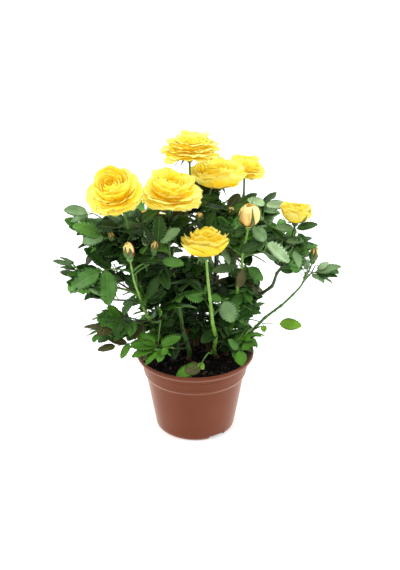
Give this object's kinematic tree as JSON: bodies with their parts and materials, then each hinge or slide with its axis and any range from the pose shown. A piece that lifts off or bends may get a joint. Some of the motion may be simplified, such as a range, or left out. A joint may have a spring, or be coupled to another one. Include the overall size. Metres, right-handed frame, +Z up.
{
  "type": "potted miniature rose bush",
  "caption": "Miniature rose bush in a round nursery pot: slender upright canes, glossy leaves and large yellow double blooms with buds.",
  "frame": {"origin": "centre of the pot's flat underside", "axes": "+Z up along the pot's axis; -Y towards the front of the bush; +X to the right seen from the front"},
  "size_m": [0.2715, 0.2085, 0.3162],
  "materials": {
    "pot": "thin terracotta-coloured plastic, satin",
    "soil": "dark peat compost, crumbly and matt",
    "cane": "green young stems, brown where older, with prickles",
    "leaf": "glossy dark green leaves, paler below, some fresh green or bronze",
    "bloom": "soft yellow petals, golden in the depths and pale at the edges",
    "bud": "creamy yellow closed petals in green sepals edged with red"
  },
  "bodies": {
    "root": {"pot": "pot", "soil": "soil", "cane_front": "cane", "bloom_front": "bloom", "cane_left": "cane", "bloom_left": "bloom", "cane_middle": "cane", "bloom_middle": "bloom", "cane_top": "cane", "bloom_top": "bloom", "cane_upper_right": "cane", "bloom_upper_right": "bloom", "cane_back_right": "cane", "bloom_back_right": "bloom", "cane_right": "cane", "bloom_right": "bloom", "cane_back_left": "cane", "bloom_back_left": "bloom", "cane_back": "cane", "bloom_back": "bloom", "cane_large_bud": "cane", "large_bud": "bud", "cane_left_bud": "cane", "left_bud": "bud", "cane_right_bud": "cane", "right_bud": "bud", "foliage_left": "leaf", "foliage_upper_left": "leaf", "foliage_lower_left": "leaf", "foliage_front_low": "leaf", "foliage_far_right": "leaf", "foliage_right": "leaf", "foliage_upper_middle": "leaf", "foliage_upper_right": "leaf", "foliage_crown": "leaf", "foliage_middle": "leaf", "foliage_middle_right": "leaf", "foliage_lower_middle": "leaf", "foliage_lower_right": "leaf", "foliage_back_left": "leaf", "foliage_back_right": "leaf", "foliage_back_low": "leaf"}
  },
  "joints": []
}
